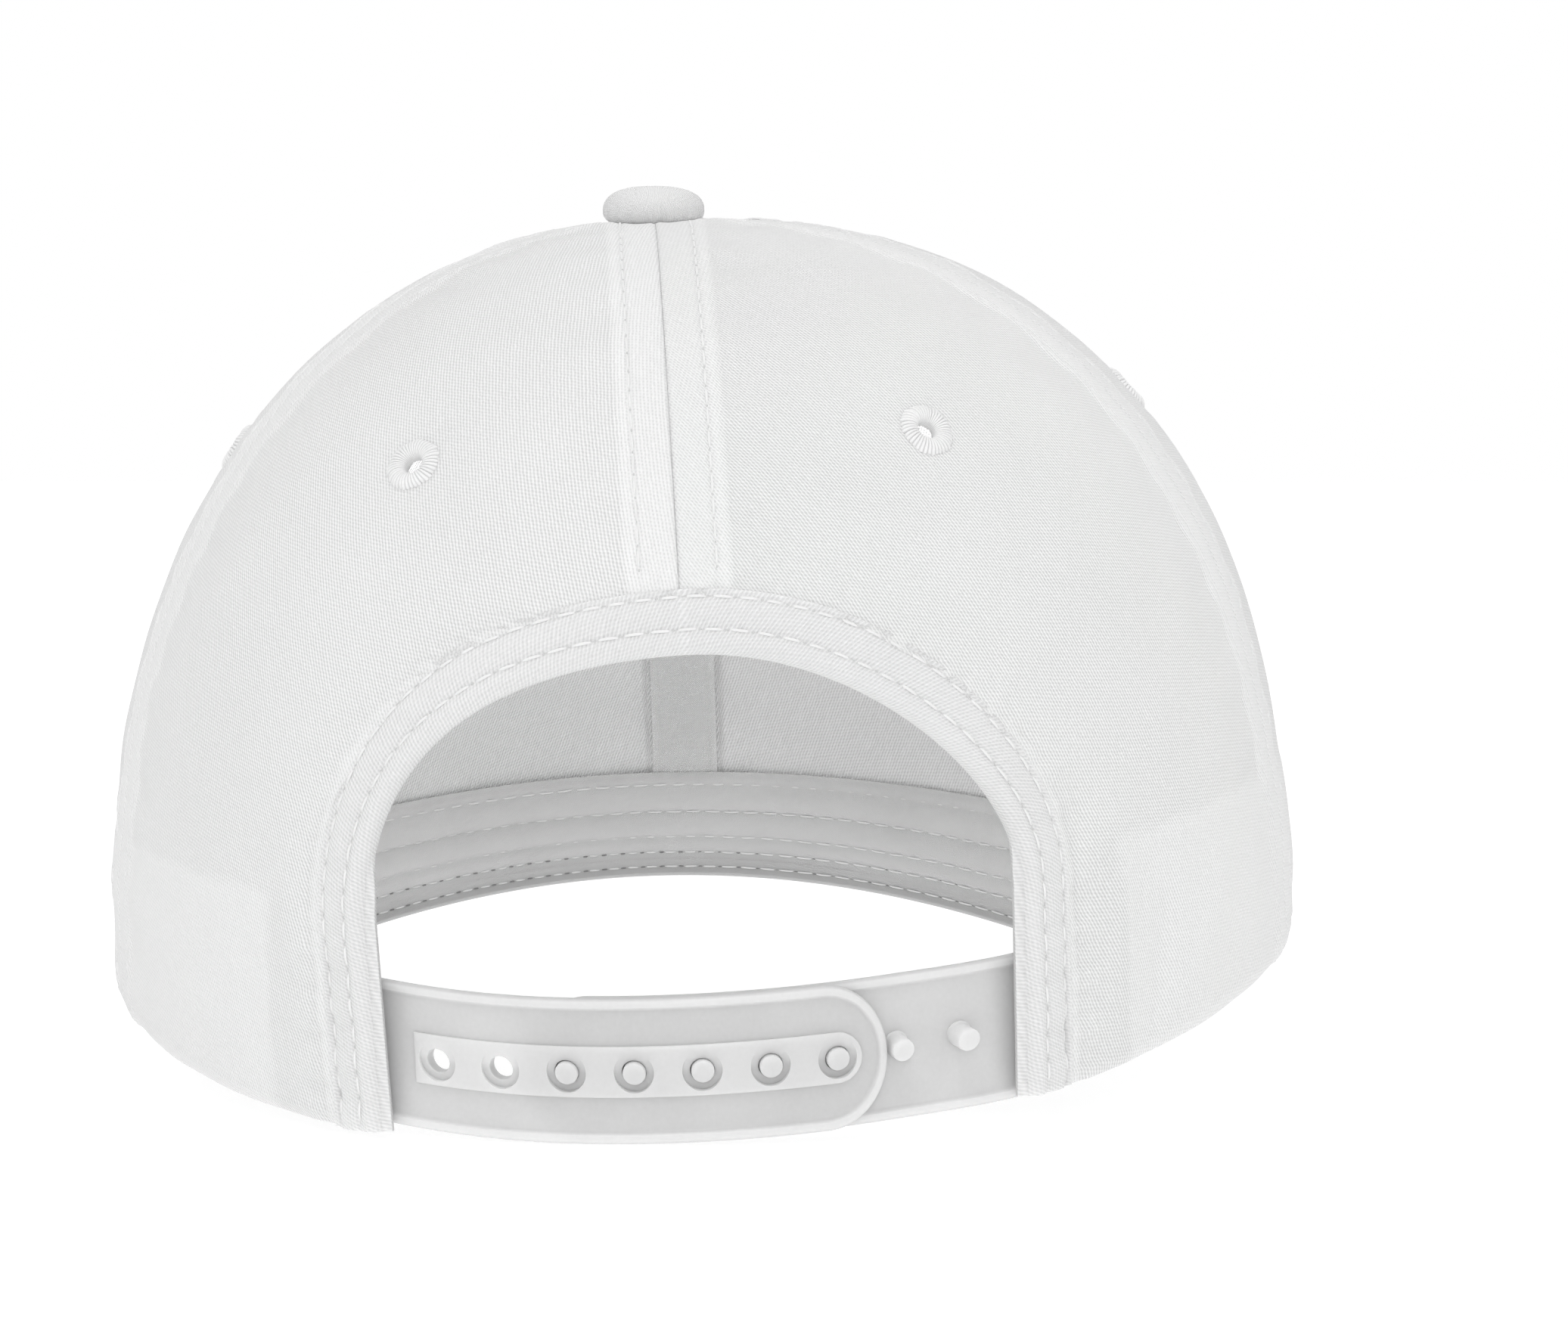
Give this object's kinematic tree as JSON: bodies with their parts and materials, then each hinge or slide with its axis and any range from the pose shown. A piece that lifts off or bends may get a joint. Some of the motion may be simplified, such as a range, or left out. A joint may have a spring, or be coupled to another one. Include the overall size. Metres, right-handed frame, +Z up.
{
  "type": "snapback cap",
  "caption": "White six-panel cloth cap with a gently curved peak, covered top button, stitched eyelets and an arched back opening closed by a plastic snap strap.",
  "frame": {"origin": "middle of the cap's box, on the surface that the cap stands on", "axes": "+Z up from the rim to the top button; the peak points to -Y and the back opening to +Y; +X is the wearer's left"},
  "size_m": [0.181, 0.2604, 0.1332],
  "materials": {
    "cloth": "fine cotton twill, matt",
    "peak_cloth": "cotton twill over a stiff board, matt, rows of stitching",
    "button_cloth": "cotton twill stretched over a button",
    "facing": "thin plain-woven facing",
    "tape": "plain-woven tape",
    "sweatband": "soft cotton, matt, stitched rows",
    "eyelet_thread": "satin embroidery thread",
    "strap_plastic": "milky, slightly see-through, satin moulded"
  },
  "bodies": {
    "root": {"panel_back_left": "cloth", "eyelet_back_left": "eyelet_thread", "panel_side_left": "cloth", "eyelet_side_left": "eyelet_thread", "panel_front_left": "cloth", "eyelet_front_left": "eyelet_thread", "tape_rear_left": "tape", "tape_fore_left": "tape", "panel_back_right": "cloth", "eyelet_back_right": "eyelet_thread", "panel_side_right": "cloth", "eyelet_side_right": "eyelet_thread", "panel_front_right": "cloth", "eyelet_front_right": "eyelet_thread", "tape_rear_right": "tape", "tape_fore_right": "tape", "tape_back": "tape", "tape_front": "tape", "opening_hem": "facing", "sweatband": "sweatband", "peak": "peak_cloth", "strap_holes": "strap_plastic", "strap_pegs": "strap_plastic", "top_button": "button_cloth"}
  },
  "joints": []
}
